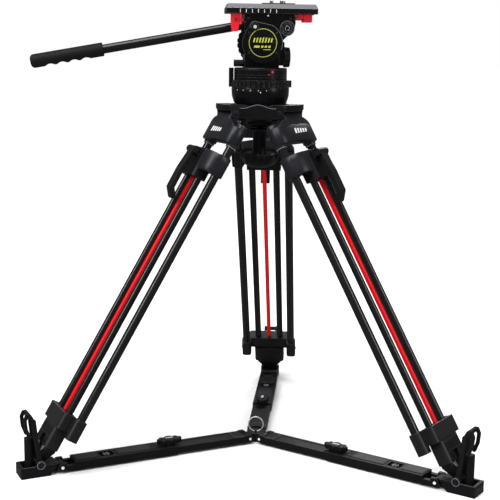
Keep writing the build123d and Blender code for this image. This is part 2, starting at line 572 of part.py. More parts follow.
def make_rosette_knob():
    start = BAR_Y + 9.3
    body = rod_y(11, ROSETTE_X, ROSETTE_Z, (start, start + 13))
    body = softened(body, body.edges().group_by(Axis.Y)[-1], 2.5)
    for turn in range(0, 360, 45):
        notch = Rot(0, 0, turn) * rod_z(2.6, 12.2, 0, (start + 2, start + 20))
        body -= Pos(ROSETTE_X, 0, ROSETTE_Z) * Rot(-90, 0, 0) * notch
    return body + rod_y(3, ROSETTE_X, ROSETTE_Z, (CHEEK_IN + 1, start + 2))


# ------------------------------------------------------------ write every sub-part
LEG_PARTS = {
    "yoke": make_yoke,
    "outer_frame": make_outer_frame,
    "collar": make_collar,
    "inner_frame": make_inner_frame,
    "lock_rod": make_lock_rod,
    "lock_lever": make_lock_lever,
    "foot": make_foot,
}
FLOOR_PARTS = {
    "foot_shoe": make_shoe,
    "arm_inner": make_arm_inner,
    "arm_outer": make_arm_outer,
    "wing_knob": make_wing_knob,
    "strap": make_strap,
}
CENTRE_PARTS = {
    "spreader_hub": make_hub,
    "pull_ring": make_pull_ring,
    "bowl_crown": make_crown,
    "leg_hinge_pins": make_hinge_pins,
    "cup_washer": make_cup_washer,
    "half_ball": make_half_ball,
    "tie_down_knob": make_tie_down_knob,
}
HEAD_PARTS = {
    "pan_base": make_pan_base,
    "pan_drag_ring": make_drag_ring,
    "pan_housing": make_pan_housing,
    "drum_cover": make_drum_cover,
    "bubble_level": make_bubble_level,
    "tilt_drag_dial": make_tilt_dial,
    "counterbalance_dial": make_front_dial,
    "pan_lock_knob": make_pan_lock,
    "tilt_platform": make_platform,
    "camera_plate": make_camera_plate,
    "plate_pad": make_pad,
    "camera_screws": make_camera_screws,
    "plate_lock_lever": make_lock_lever_plate,
    "release_tab": make_release_tab,
    "pan_bar": make_pan_bar,
    "grip": make_grip,
    "rosette_knob": make_rosette_knob,
}

os.makedirs("parts", exist_ok=True)
for name, make in LEG_PARTS.items():
    piece = make()
    for leg, azimuth in LEG_AZIMUTHS.items():
        save(f"{name}_{leg}", in_leg(piece, azimuth))
for name, make in FLOOR_PARTS.items():
    piece = make()
    for leg, azimuth in LEG_AZIMUTHS.items():
        save(f"{name}_{leg}", on_floor(piece, azimuth))
for name, make in CENTRE_PARTS.items():
    save(name, make())
for name, make in HEAD_PARTS.items():
    save(name, in_head(make()))
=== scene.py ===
import json
import math

import bmesh
import bpy
from mathutils import Matrix, Vector


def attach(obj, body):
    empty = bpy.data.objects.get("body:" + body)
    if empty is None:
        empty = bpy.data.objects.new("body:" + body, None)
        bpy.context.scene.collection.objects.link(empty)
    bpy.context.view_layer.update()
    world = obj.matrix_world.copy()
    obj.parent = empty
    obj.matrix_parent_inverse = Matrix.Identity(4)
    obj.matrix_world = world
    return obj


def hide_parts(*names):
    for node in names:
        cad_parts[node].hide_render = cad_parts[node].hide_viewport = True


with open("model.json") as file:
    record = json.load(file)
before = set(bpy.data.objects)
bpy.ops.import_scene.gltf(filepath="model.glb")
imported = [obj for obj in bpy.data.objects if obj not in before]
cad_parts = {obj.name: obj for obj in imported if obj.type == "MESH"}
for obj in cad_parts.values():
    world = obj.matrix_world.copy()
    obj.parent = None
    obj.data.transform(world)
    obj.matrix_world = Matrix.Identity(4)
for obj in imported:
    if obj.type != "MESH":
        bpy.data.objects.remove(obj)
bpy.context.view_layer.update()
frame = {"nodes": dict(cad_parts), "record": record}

# ------------------------------------------------------------ shared sizes, in millimetres
MM = 0.001
LEGS = {"a": 90, "b": 210, "c": 330}
HINGE_R, HINGE_Z = 60.0, 597.0
LEAN = math.atan2(347.0, 577.0)
OUTER_TUBE_X, OUTER_TUBE_Y = -12.0, 47.0
INNER_TUBE_X, INNER_TUBE_Y = 3.0, 23.0
FOOT_R, FOOT_Z = 407.0, 20.0
PIN_R, PIN_Z = 370.0, 10.0
ARM_HINGE_R = 19.0
ARM_HALF = 18.6
SHOE_END = 441.0
WING_R = 171.0
TILT_Z = 721.0
COVER_FACE = 32.0
CHEEK_FACE = 25.0
PAN_R, BASE_R = 46.0, 50.15
BUBBLE_X, BUBBLE_Z = -14.0, 748.0
SCREWS = {17.3: 3.175, 36.7: 4.7625}  # place along the plate: radius of the thread
HEAD = Matrix.Rotation(math.radians(10.5), 4, "Z")
NEAR, FAR, FRONT, INBOARD = -90, 90, 0, 180


def shift(x, y, z):
    return Matrix.Translation((x, y, z))


def turn(degrees, axis):
    return Matrix.Rotation(math.radians(degrees), 4, axis)


def leg_frame(leg):
    """Outboard, across, and up the leg from its hinge."""
    lean = Matrix.Rotation(-LEAN, 4, "Y")
    return turn(LEGS[leg], "Z") @ shift(HINGE_R, 0, HINGE_Z) @ lean


def arm_frame(leg):
    return turn(LEGS[leg], "Z")


def spot(x, y, z, azimuth):
    """Local Z points out of a wall that faces this azimuth, local Y points up."""
    return shift(x, y, z) @ turn(azimuth + 90, "Z") @ turn(90, "X")


# ------------------------------------------------------------ materials
def link(tree, a, b):
    tree.links.new(a, b)


def number_range(tree, source, low, high, out_low, out_high):
    made = tree.nodes.new("ShaderNodeMapRange")
    for key, value in (("From Min", low), ("From Max", high), ("To Min", out_low), ("To Max", out_high)):
        made.inputs[key].default_value = value
    link(tree, source, made.inputs["Value"])
    return made.outputs["Result"]


def colour_mix(tree, factor, a, b):
    made = tree.nodes.new("ShaderNodeMix")
    made.data_type = "RGBA"
    link(tree, factor, made.inputs[0])
    for socket, value in ((made.inputs[6], a), (made.inputs[7], b)):
        if isinstance(value, tuple):
            socket.default_value = (*value, 1)
        else:
            link(tree, value, socket)
    return made.outputs[2]


def number_mix(tree, factor, a, b):
    made = tree.nodes.new("ShaderNodeMix")
    link(tree, factor, made.inputs[0])
    for socket, value in ((made.inputs[2], a), (made.inputs[3], b)):
        if isinstance(value, float):
            socket.default_value = value
        else:
            link(tree, value, socket)
    return made.outputs[0]


def noise(tree, coordinates, scale, detail):
    made = tree.nodes.new("ShaderNodeTexNoise")
    made.inputs["Scale"].default_value = scale
    made.inputs["Detail"].default_value = detail
    link(tree, coordinates, made.inputs["Vector"])
    return made.outputs["Fac"]


def dot(tree, a, b):
    """How far the vector a points along b, which is another output or a constant direction."""
    made = tree.nodes.new("ShaderNodeVectorMath")
    made.operation = "DOT_PRODUCT"
    link(tree, a, made.inputs[0])
    if isinstance(b, tuple):
        made.inputs[1].default_value = b
    else:
        link(tree, b, made.inputs[1])
    return made.outputs["Value"]


def painted_edge_highlights(tree, shade, rounded, patches, edge_highlight, highlight_colour):
    """Lets a lighter colour through where the rounded normal leaves the real one, in patches: a painted edge
    highlight.
    """
    geometry = tree.nodes.new("ShaderNodeNewGeometry")
    facing = dot(tree, rounded.outputs["Normal"], geometry.outputs["Normal"])
    amount = tree.nodes.new("ShaderNodeMath")
    amount.operation = "MULTIPLY"
    link(tree, number_range(tree, facing, 0.995, 0.90, 0.0, edge_highlight), amount.inputs[0])
    link(tree, number_range(tree, patches, 0.35, 0.6, 0.3, 1.0), amount.inputs[1])
    return colour_mix(tree, amount.outputs["Value"], shade, highlight_colour)


BROAD_SCALE, MIDDLE_SCALE = 28.0, 190.0
EDGE_RADIUS = 0.0007


def finish_look(name, colour, rough, grain=1400.0, bump=0.15, depth=0.00012, metallic=0.0, specular=0.4,
                mottle=0.18, edge_highlight=0.35, highlight_colour=(0.16, 0.16, 0.17), coat=0.0, coat_rough=0.2, second=None):
    """A moulded, painted or metal surface: mottled colour, varied roughness, fine grain and a painted
    highlight on its edges.
    second = (direction, start, end, colour, roughness) is another finish further along, in metres; on the
    plate it is a lighter top, a painted sheen."""
    material = bpy.data.materials.new(name)
    material.use_nodes = True
    tree = material.node_tree
    shader = tree.nodes["Principled BSDF"]
    coordinates = tree.nodes.new("ShaderNodeTexCoord").outputs["Object"]
    broad = noise(tree, coordinates, BROAD_SCALE, 2.0)
    middle = noise(tree, coordinates, MIDDLE_SCALE, 4.0)
    fine = noise(tree, coordinates, grain, 3.0)
    dark = tuple(c * (1 - mottle) for c in colour)
    light = tuple(min(1.0, c * (1 + mottle)) for c in colour)
    shade = colour_mix(tree, broad, dark, light)
    roughness = number_range(tree, middle, 0.25, 0.75, rough * 0.85, min(1.0, rough * 1.15))
    if second is not None:
        direction, start, end, other_colour, other_rough = second
        zone = number_range(tree, dot(tree, coordinates, direction), start, end, 0.0, 1.0)
        shade = colour_mix(tree, zone, shade, other_colour)
        roughness = number_mix(tree, zone, roughness, other_rough)
    rounded = tree.nodes.new("ShaderNodeBevel")
    rounded.samples = 4
    rounded.inputs["Radius"].default_value = EDGE_RADIUS
    # Edges get a lighter colour where the bevel normal turns away: a painted edge highlight.
    if edge_highlight > 0:
        shade = painted_edge_highlights(tree, shade, rounded, middle, edge_highlight, highlight_colour)
    raised = tree.nodes.new("ShaderNodeBump")
    raised.inputs["Strength"].default_value = bump
    raised.inputs["Distance"].default_value = depth
    link(tree, fine, raised.inputs["Height"])
    link(tree, rounded.outputs["Normal"], raised.inputs["Normal"])
    link(tree, shade, shader.inputs["Base Color"])
    link(tree, roughness, shader.inputs["Roughness"])
    link(tree, raised.outputs["Normal"], shader.inputs["Normal"])
    shader.inputs["Metallic"].default_value = metallic
    shader.inputs["Specular IOR Level"].default_value = specular
    shader.inputs["Coat Weight"].default_value = coat
    shader.inputs["Coat Roughness"].default_value = coat_rough
    return material


TUBE = (0.0048, 0.0050, 0.0050)
CAST = (0.0042, 0.0042, 0.0050)
UP = (0, 0, 1)
PLATE_LIT_TOP = (0.7788, 0.7794)
# In each finish the edge amount and edge colour set the painted highlight on its edges.
FINISHES = {
    "cast_black": dict(colour=CAST, rough=0.36, grain=1800, bump=0.35, specular=0.17,
                       highlight_colour=(0.20, 0.20, 0.21)),
    "yoke_grey": dict(colour=(0.0085, 0.0088, 0.0115), rough=0.34, grain=1800, bump=0.3, specular=0.26,
                      highlight_colour=(0.22, 0.22, 0.24)),
    "red_anodised": dict(colour=(0.66, 0.003, 0.008), rough=0.30, grain=900, bump=0.1, metallic=0.1,
                         edge_highlight=0.1, highlight_colour=(0.8, 0.1, 0.1), specular=0.25, mottle=0.12),
    "red_plastic": dict(colour=(0.62, 0.005, 0.018), rough=0.30, grain=1100, bump=0.2, edge_highlight=0.25,
                        highlight_colour=(0.9, 0.25, 0.25), coat=0.25),
    "black_plastic": dict(colour=(0.0050, 0.0050, 0.0058), rough=0.40, grain=2200, bump=0.5,
                          specular=0.17, edge_highlight=0.35, highlight_colour=(0.18, 0.18, 0.19)),
    "rubber_black": dict(colour=(0.0055, 0.0055, 0.006), rough=0.62, grain=1300, bump=0.6, specular=0.15,
                         edge_highlight=0.15),
    "steel": dict(colour=(0.45, 0.45, 0.46), rough=0.28, grain=1500, bump=0.08, metallic=1.0, edge_highlight=0.2,
                  highlight_colour=(0.8, 0.8, 0.8)),
    "bright_ring": dict(colour=(0.80, 0.80, 0.80), rough=0.22, grain=1500, bump=0.04, metallic=0.6,
                        mottle=0.05, edge_highlight=0.0),
    "head_black": dict(colour=(0.0028, 0.0028, 0.0033), rough=0.28, grain=2000, bump=0.22, specular=0.18,
                       edge_highlight=0.5, highlight_colour=(0.24, 0.24, 0.25)),
    # Above 778.8 mm the plate turns light grey: a painted sheen of light from above on its top.
    "plate_grey": dict(colour=(0.0042, 0.0042, 0.0048), rough=0.30, grain=1500, bump=0.12, specular=0.2,
                       edge_highlight=0.5, highlight_colour=(0.35, 0.35, 0.37),
                       second=(UP, *PLATE_LIT_TOP, (0.16, 0.16, 0.175), 0.30)),
    "bubble_green": dict(colour=(0.42, 0.55, 0.32), rough=0.12, grain=800, bump=0.02, mottle=0.08,
                         edge_highlight=0.0, coat=0.8, coat_rough=0.05),
    "tube_black": dict(colour=TUBE, rough=0.22, grain=1500, bump=0.12, specular=0.4),
    "white_print": dict(colour=(0.80, 0.80, 0.80), rough=0.5, grain=1600, bump=0.15, mottle=0.08, edge_highlight=0.0),
    "yellow_print": dict(colour=(0.40, 0.44, 0.03), rough=0.45, grain=1600, bump=0.15, mottle=0.12,
                         edge_highlight=0.0),
    "red_print": dict(colour=(0.42, 0.015, 0.035), rough=0.4, grain=1600, bump=0.1, mottle=0.1, edge_highlight=0.0),
    "white_nylon": dict(colour=(0.78, 0.78, 0.76), rough=0.42, grain=1500, bump=0.1, mottle=0.06,
                        edge_highlight=0.0),
    "panel_grey": dict(colour=(0.011, 0.0115, 0.013), rough=0.42, grain=900, bump=0.8, depth=0.0002,
                       specular=0.25, edge_highlight=0.35),
    # Light grey for thin lines along edges: painted highlights.
    "painted_highlight_grey": dict(colour=(0.13, 0.13, 0.14), rough=0.28, grain=1600, bump=0.1, specular=0.5,
                        mottle=0.3, edge_highlight=0.3, highlight_colour=(0.4, 0.4, 0.42)),
    # Bright silver-grey for thin lines and small wedges: painted highlights.
    "painted_highlight_silver": dict(colour=(0.50, 0.50, 0.53), rough=0.3, grain=1600, bump=0.06, metallic=0.8,
                        mottle=0.1, edge_highlight=0.0),
}
LOOKS = {name: finish_look(name, **finish) for name, finish in FINISHES.items()}

# The tubes of each leg stage end in a casting, this far down the leg from its hinge, in metres.
GLOSSY_TUBE = dict(rough=0.19, bump=0.12, specular=0.5)
LEG_STAGES = {
    "outer_frame_": ("tube_black_outer_", 0.5737, GLOSSY_TUBE),
    "inner_frame_": ("tube_black_inner_", 0.6017, GLOSSY_TUBE),
    "foot_": ("cast_black_foot_", 0.6401, dict(rough=0.28, bump=0.2, specular=0.24)),
}
CHANGE_OVER = 0.0004
CASTING_ROUGH = 0.44


def stage_look(leg, name, start, finish):
    """Tube above the start of the casting and cast metal below it."""
    down = (leg_frame(leg).to_3x3() @ Vector((0, 0, -1))).normalized()
    start += down.dot(leg_frame(leg).to_translation() * MM)
    casting = (tuple(down), start, start + CHANGE_OVER, CAST, CASTING_ROUGH)
    return finish_look(name + leg, TUBE, grain=1500, second=casting, **finish)


for leg in LEGS:
    for prefix, (look_name, casting_start, stage_finish) in LEG_STAGES.items():
        LOOKS[prefix + leg] = stage_look(leg, look_name, casting_start, stage_finish)

slot_of = {row["node"]: row["material_slot"] for row in frame["record"]["subparts"]}
for name, obj in frame["nodes"].items():
    obj.data.materials.clear()
    obj.data.materials.append(LOOKS.get(name, LOOKS[slot_of[name]]))
    obj.data.shade_smooth()
    obj.data.set_sharp_from_angle(angle=math.radians(28))


# ------------------------------------------------------------ shapes for the detail pieces
def circle(radius, height, sides):
    angles = [2 * math.pi * step / sides for step in range(sides)]
    return [(radius * math.cos(angle), radius * math.sin(angle), height) for angle in angles]


def arc(radius, start, end, steps):
    """Points on a circle about the origin, between two angles in degrees."""
    angles = [math.radians(start + (end - start) * i / steps) for i in range(steps + 1)]
    return [(radius * math.cos(angle), radius * math.sin(angle)) for angle in angles]


def join_rows(mesh, rows):
    """Faces between each closed row of vertices and the next."""
    count = len(rows[0])
    for a, b in zip(rows, rows[1:]):
        for i in range(count):
            j = (i + 1) % count
            mesh.faces.new((a[i], a[j], b[j], b[i]))


def loft(rings, at=Matrix()):
    """Closed rings of equal point count joined one after another and capped at both ends."""
    def make(mesh):
        rows = [[mesh.verts.new(at @ Vector(point)) for point in ring] for ring in rings]
        join_rows(mesh, rows)
        mesh.faces.new(list(reversed(rows[0])))
        mesh.faces.new(rows[-1])
    return make


def lathe(profile, sides=64, at=Matrix()):
    """A closed loop of (radius, height) turned about local Z; one that touches the axis is capped there."""
    def make(mesh):
        rows = []
        for step in range(sides):
            around = at @ Matrix.Rotation(2 * math.pi * step / sides, 4, "Z")
            rows.append([mesh.verts.new(around @ Vector((r, 0, z))) for r, z in profile])
        join_rows(mesh, rows + rows[:1])
    return make


def disc(radius, height, soft=0.3, sides=40, at=Matrix()):
    """A low round button with a softened rim."""
    rim = [(radius, 0.0), (radius, height - soft), (radius - soft * 0.3, height - soft * 0.3),
           (radius - soft, height)]
    return loft([circle(r, z, sides) for r, z in rim], at)


def prism(outline, low, high, soft=0.15, at=Matrix()):
    """A flat shape with thickness along local Z; its top edge is bevelled inwards."""
    middle = sum((Vector(point) for point in outline), Vector((0, 0))) / len(outline)
    rings = []
    for z, inset in ((low, 0.0), (high - soft, 0.0), (high, soft)):
        points = [Vector(point) - (Vector(point) - middle).normalized() * inset for point in outline]
        rings.append([(point.x, point.y, z) for point in points])
    return loft(rings, at)


def plank(x, y, z, soft=0.3, at=Matrix()):
    """A bar between limits along local X, Y and Z with its upper edges bevelled."""
    corners = [(x[0], y[0]), (x[1], y[0]), (x[1], y[1]), (x[0], y[1])]
    return prism(corners, z[0], z[1], soft, at)


def fluted(levels, flutes=8, sides=96):
    """A solid of (height, radius, flute depth) rings about local Z."""
    rings = []
    for z, radius, depth in levels:
        ring = []
        for step in range(sides):
            angle = 2 * math.pi * step / sides
            r = radius + depth * math.cos(flutes * angle)
            ring.append((r * math.cos(angle), r * math.sin(angle), z))
        rings.append(ring)
    return loft(rings)


def cap_screw(radius, height, at=Matrix()):
    """A socket-head screw: a turned head with a six-sided recess."""
    sides = 36
    flat = radius * 0.5 * math.cos(math.pi / 6)
    rings = [circle(r, z, sides) for r, z in ((radius, 0.0), (radius, height * 0.8), (radius * 0.9, height))]
    for z in (height, height * 0.35):
        ring = []
        for step in range(sides):
            angle = 2 * math.pi * step / sides
            r = flat / math.cos(angle % (math.pi / 3) - math.pi / 6)
            ring.append((r * math.cos(angle), r * math.sin(angle), z))
        rings.append(ring)
    return loft(rings, at)


def band(radius, thick, z0, z1, sides=96):
    """A thin hoop that stands proud of a round wall."""
    soft = min(0.2, thick / 2)
    sunk = radius - 0.4
    return lathe([(sunk, z0), (radius + thick - soft, z0), (radius + thick, z0 + soft),
                  (radius + thick, z1 - soft), (radius + thick - soft, z1), (sunk, z1)], sides)


def ring_profile(inner, outer, low, high, soft):
    """The section of a flat ring with both upper edges chamfered."""
    return [(inner, low), (outer, low), (outer, high - soft), (outer - soft, high), (inner + soft, high),
            (inner, high - soft)]


def square_to(path):
    """Each point of a flat path with the unit direction square to the path there."""
    found = []
    for i, (x, y) in enumerate(path):
        before, after = path[max(i - 1, 0)], path[min(i + 1, len(path) - 1)]
        found.append((x, y, Vector((before[1] - after[1], after[0] - before[0])).normalized()))
    return found


def raised_line(path, half, low, high):
    """A thin line that stands up along a flat path."""
    rings = []
    for x, y, away in square_to(path):
        dx, dy = away * half
        rings.append([(x + dx, y + dy, low), (x + dx, y + dy, high), (x - dx, y - dy, high),
                      (x - dx, y - dy, low)])
    return loft(rings)


def slant(x, y, width, height, lean=0.25):
    """The outline of a slanted bar."""
    half, rise, slip = width / 2, height / 2, lean * height / 2
    return [(x - half - slip, y - rise), (x + half - slip, y - rise), (x + half + slip, y + rise),
            (x - half + slip, y + rise)]


def mark_bars(width, height, count):
    """A generic mark: slanted bars that grow shorter towards one end."""
    pitch = width / count
    return [slant(-width / 2 + pitch * (i + 0.5), 0, pitch * 0.56, height * (1.0 - 0.07 * i))
            for i in range(count)]


def piece(name, body, slot, look, at, *shapes):
    """One detail piece, drawn in millimetres in the frame `at`, riding on a body."""
    mesh = bmesh.new()
    for shape in shapes:
        shape(mesh)
    mesh.transform(Matrix.Scale(MM, 4) @ at)
    bmesh.ops.recalc_face_normals(mesh, faces=mesh.faces)
    data = bpy.data.meshes.new(name)
    mesh.to_mesh(data)
    mesh.free()
    data.materials.append(LOOKS[look])
    data.shade_smooth()
    data.set_sharp_from_angle(angle=math.radians(35))
    obj = bpy.data.objects.new(name, data)
    bpy.context.scene.collection.objects.link(obj)
    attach(obj, body)
    return obj


# ------------------------------------------------------------ head
def cover_edge_path():
    """The drum cover's upper edge, where a highlight is painted: around the level's ear and down the straight
    side.
    """
    ear = [(BUBBLE_X + x, BUBBLE_Z + y) for x, y in arc(8.6, 200, 66, 16)]
    return ear + [(x, TILT_Z + y) for x, y in arc(33.4, 62, -20, 30)]


def badge_pieces():
    cover = HEAD @ spot(0, -COVER_FACE, TILT_Z, NEAR)
    piece("badge_face", "pan", "head_black", "head_black", cover, disc(22.9, 0.35, 0.2, 72))
    piece("badge_ring", "pan", "plate_grey", "yellow_print", cover,
          lathe(ring_profile(23.1, 24.1, -0.5, 0.55, 0.2), 96))
    bars = [slant(-15.0 + 5.0 * i, 4.6, 2.6, 9.0 - 0.6 * abs(i - 3)) for i in range(7)]
    bars.append(slant(-10.5, -6.4, 9.5, 3.6))
    bars += [slant(x, -6.4, 4.0, 3.6) for x in (-1.2, 5.0, 11.2)]
    bars.append(slant(7.0, -11.4, 13.0, 1.2))
    piece("badge_marks", "pan", "plate_grey", "yellow_print", cover,
          *[prism(bar, 0.3, 0.55, 0.08) for bar in bars])
    # A thin light line along the cover's upper edge: a painted highlight.
    piece("cover_edge_highlight", "pan", "head_black", "painted_highlight_grey", HEAD @ spot(0, -COVER_FACE, 0, NEAR),
          raised_line(cover_edge_path(), 0.28, -0.2, 0.14))
    piece("bubble_rim", "pan", "head_black", "head_black", HEAD @ spot(BUBBLE_X, -COVER_FACE, BUBBLE_Z, NEAR),
          lathe([(3.0, 1.3), (5.9, 0.2), (6.8, 0.2), (6.8, 1.5), (6.3, 2.1), (3.5, 2.1), (3.0, 1.8)], 48))
    for number, angle in enumerate((35, 145, 215, 325)):
        x, y = arc(29.0, angle, angle, 1)[0]
        piece(f"cover_screw_{number}", "pan", "steel", "cast_black", cover @ shift(x, y, 0),
              cap_screw(1.9, 0.7))


def rosette_pieces():
    """The toothed joint of the pan bar on the near cheek."""
    near = HEAD @ spot(42, -27.5, 746, NEAR)
    count, inner, outer = 40, 6.2, 11.0
    half = 360 / count * 0.275
    tooth = arc(inner, -half, half, 1) + arc(outer, half, -half, 1)
    piece("rosette_teeth", "tilt", "head_black", "head_black", near,
          *[prism(tooth, -0.2, 0.55, 0.15, turn(360 * i / count, "Z")) for i in range(count)])
    piece("rosette_socket", "tilt", "steel", "steel", near,
          lathe(ring_profile(3.1, 4.4, -3.0, 0.7, 0.3), 48))
    piece("rosette_bolt", "tilt", "steel", "cast_black", near, cap_screw(3.0, 1.6, shift(0, 0, -3.0)))
    # A light ring round the rosette: a painted highlight on its rim.
    piece("rosette_rim_highlight", "tilt", "head_black", "painted_highlight_grey", near,
          lathe([(12.1, -0.3), (12.7, -0.3), (12.7, 0.1), (12.4, 0.35), (12.1, 0.1)], 72))


def plate_lever_pieces():
    """Backs that close the slot of the red lever."""
    x, z = -40, 759.5
    piece("lever_back", "plate_lever", "red_plastic", "red_plastic", HEAD @ spot(x, -7.5, z, NEAR),
          plank((-7.7, 7), (-3.0, 3.0), (0.0, 0.5), 0.1))
    piece("lever_boss", "tilt", "red_plastic", "red_plastic", HEAD @ spot(x, -19.0, z, NEAR),
          plank((-6.2, 8), (-2.4, 2.4), (-0.1, 0.5), 0.15))


def plate_pieces():
    tick = ((-0.45, 0.45), (-3.0, 3.0), (-0.2, 0.25), 0.08)
    piece("plate_scale", "plate", "plate_grey", "white_print", HEAD,
          *[plank(*tick, spot(-39.0 + 10.3 * i, -29, 774.4, NEAR)) for i in range(7)])
    # Thin silver lines along both long sides of the plate: painted highlights.
    piece("plate_edge_highlights", "plate", "plate_grey", "painted_highlight_silver", HEAD,
          *[plank((-76.5, 76.5), (-0.35, 0.35), (-0.2, 0.2), 0.1, spot(16.5, y, 779.1, azimuth))
            for y, azimuth in ((-29.0, NEAR), (29.0, FAR))])
    piece("platform_index", "tilt", "head_black", "white_print", HEAD @ spot(9, -CHEEK_FACE, 766.8, NEAR),
          disc(1.5, 0.3, 0.1, 24))
    half, clear = 18.5, 6.5
    ribs = []
    for x in [2.0 + 3.1 * i for i in range(18)]:
        beside_screws = 10.0 < x + 0.8 < 44.0
        spans = ((clear, half), (-half, -clear)) if beside_screws else ((-half, half),)
        ribs += [plank((x, x + 1.6), span, (-0.1, 0.45), 0.2) for span in spans]
    piece("pad_ribs", "plate", "rubber_black", "rubber_black", HEAD @ shift(0, 0, 788), *ribs)
    for number, (x, radius) in enumerate(SCREWS.items(), 1):
        threads = [lathe([(radius - 0.4, z - 0.4), (radius + 0.02, z), (radius - 0.4, z + 0.4)], 36)
                   for z in [788.9 + 0.85 * i for i in range(5)]]
        piece(f"screw_thread_{number}", "plate", "steel", "steel", HEAD @ shift(x, 0, 0), *threads)


def housing_pieces():
    piece("housing_lines", "pan", "head_black", "panel_grey", HEAD,
          band(PAN_R, 0.25, 675.3, 675.8), band(PAN_R, 0.25, 666.6, 667.0), band(PAN_R, 0.25, 662.4, 662.8))
    piece("index_dot_red", "pan", "red_plastic", "red_print",
          HEAD @ turn(-70, "Z") @ spot(PAN_R, 0, 671.8, FRONT), disc(2.3, 0.8, 0.4, 32))
    piece("index_mark_red", "pan", "red_plastic", "red_print",
          HEAD @ turn(-78, "Z") @ spot(PAN_R, 0, 667.8, FRONT),
          plank((-2.2, 2.2), (-0.6, 0.6), (-0.1, 0.3), 0.1))


def base_pieces():
    """The fixed base below the pan: its shell, its scale and the index that the scale is read against."""
    marks = []
    for step in range(40):
        tall = 1.9 if step % 4 == 0 else 1.0
        place = turn(step * 9 + 4.5, "Z") @ spot(BASE_R, 0, 643.4 - tall / 2, FRONT)
        marks.append(plank((-0.28, 0.28), (-tall / 2, tall / 2), (-0.2, 0.25), 0.08, place))
    piece("base_ticks", "level", "head_black", "panel_grey", HEAD, *marks)
    index_turn = -96
    piece("base_index", "level", "head_black", "white_print",
          HEAD @ turn(index_turn, "Z") @ spot(BASE_R, 0, 637.4, FRONT),
          prism([(-0.9, 1.3), (0.9, 1.3), (0.0, -1.5)], -0.4, 0.3, 0.08))
    digits = []
    for angle in (-52, -36, -20, -4, 12):
        place = HEAD @ turn(index_turn + angle, "Z") @ spot(BASE_R + 0.05, 0, 641.0, FRONT)
        digits += [prism(slant(x, 0, 0.42, 1.8), -0.4, 0.2, 0.05, place) for x in (-0.45, 0.45)]
        digits.append(plank((-0.45, 0.65), (0.6, 0.85), (-0.4, 0.2), 0.05, place))
    piece("base_digits", "level", "head_black", "white_print", Matrix(), *digits)
    shell = [(44.4, 618.05), (45.6, 618.6), (46.6, 620.4), (47.3, 623.4), (48.4, 626.4), (49.6, 631.0),
             (50.1, 637.0), (50.2, 644.2), (49.8, 645.2), (44.0, 645.2)]
    piece("pan_base_shell", "level", "head_black", "head_black", HEAD, lathe(shell, 128))


def cheek_screw_pieces():
    for tag, side, azimuth in (("n", -1, NEAR), ("f", 1, FAR)):
        for x, z in ((-24.0, 762.5), (48.0, 762.5), (-24.0, 730.0)):
            piece(f"cheek_screw_{tag}_{int(x + 50)}_{int(z)}", "tilt", "steel", "cast_black",
                  HEAD @ spot(x, side * CHEEK_FACE, z, azimuth), cap_screw(2.2, 0.8))


def dial_pieces():
    piece("tilt_dial_face", "tilt_dial", "black_plastic", "black_plastic", HEAD @ spot(0, 35, TILT_Z, FAR),
          lathe([(20, -0.3), (33, -0.3), (33, 0.2), (32.4, 0.6), (21, 0.6), (20.4, 0.2)], 72),
          *[plank((-0.5, 0.5), (22.5, 25.5), (0.3, 0.8), 0.1, turn(30 * i, "Z")) for i in range(12)])
    piece("tilt_dial_cap", "tilt_dial", "head_black", "head_black", HEAD @ spot(0, 35.6, TILT_Z, FAR),
          lathe([(7.0, -0.4), (18.0, -0.4), (18.0, 0.6), (17.2, 1.2), (8.0, 1.2), (7.0, 0.6)], 64))
    piece("tilt_shaft_screw", "pan", "steel", "steel", HEAD @ spot(0, 35.4, TILT_Z, FAR),
          cap_screw(5.0, 0.7))
    front_z = 697.5
    piece("front_dial_face", "balance_dial", "black_plastic", "head_black",
          HEAD @ spot(50, 0, front_z, FRONT),
          lathe([(6.0, -0.4), (12.5, -0.4), (12.5, 0.3), (12.0, 0.7), (6.5, 0.7), (6.0, 0.3)], 56),
          plank((-0.6, 0.6), (8.0, 12.0), (0.5, 1.0), 0.1))
    piece("front_dial_screw", "pan", "steel", "steel", HEAD @ spot(49, 0, front_z, FRONT),
          cap_screw(4.2, 0.9))


# ------------------------------------------------------------ crown
LIP_PATH = [(76.2, 0.0), (76.0, 8.0), (75.2, 16.0), (73.8, 23.0), (71.6, 29.4)]
HOOD_OUTLINE = [(46, 617.1), (69.2, 617.1), (70.6, 616.4), (71.2, 614.4), (70.8, 609.0), (69.2, 606.0),
                (68.4, 602.0), (68.4, 597.0), (67.0, 594.6), (64.0, 594.0), (54, 594.0), (50, 598.0),
                (46, 606.0)]
WALL_FACE, WALL_SPAN, WALL_TOP, CREST = 51.9, 38, 610.9, 26


def wall_top(t):
    """The wave of the wall's top edge: a crest in the middle and a rise towards each leg."""
    if abs(t) < CREST:
        return WALL_TOP + 6.1 * (0.5 + 0.5 * math.cos(math.pi * t / CREST))
    return WALL_TOP + 3.0 * (1 - math.cos(math.pi * (abs(t) - CREST) / 24))


def wall_rings(span, near, far, floor_z, above):
    """Stations of the wall between two legs. Without a floor_z they start 0.55 mm below its top edge."""
    rings = []
    for step in range(37):
        t = span * (2 * step / 36 - 1)
        face = WALL_FACE + 3.2 * (abs(t) / WALL_SPAN) ** 3
        low = wall_top(t) - 0.55 if floor_z is None else floor_z
        high = wall_top(t) + above
        rings.append([(face + near, t, low), (face + far, t, low), (face + far, t, high - 0.4),
                      (face + far - 0.4, t, high), (face + near, t, high)])
    return rings


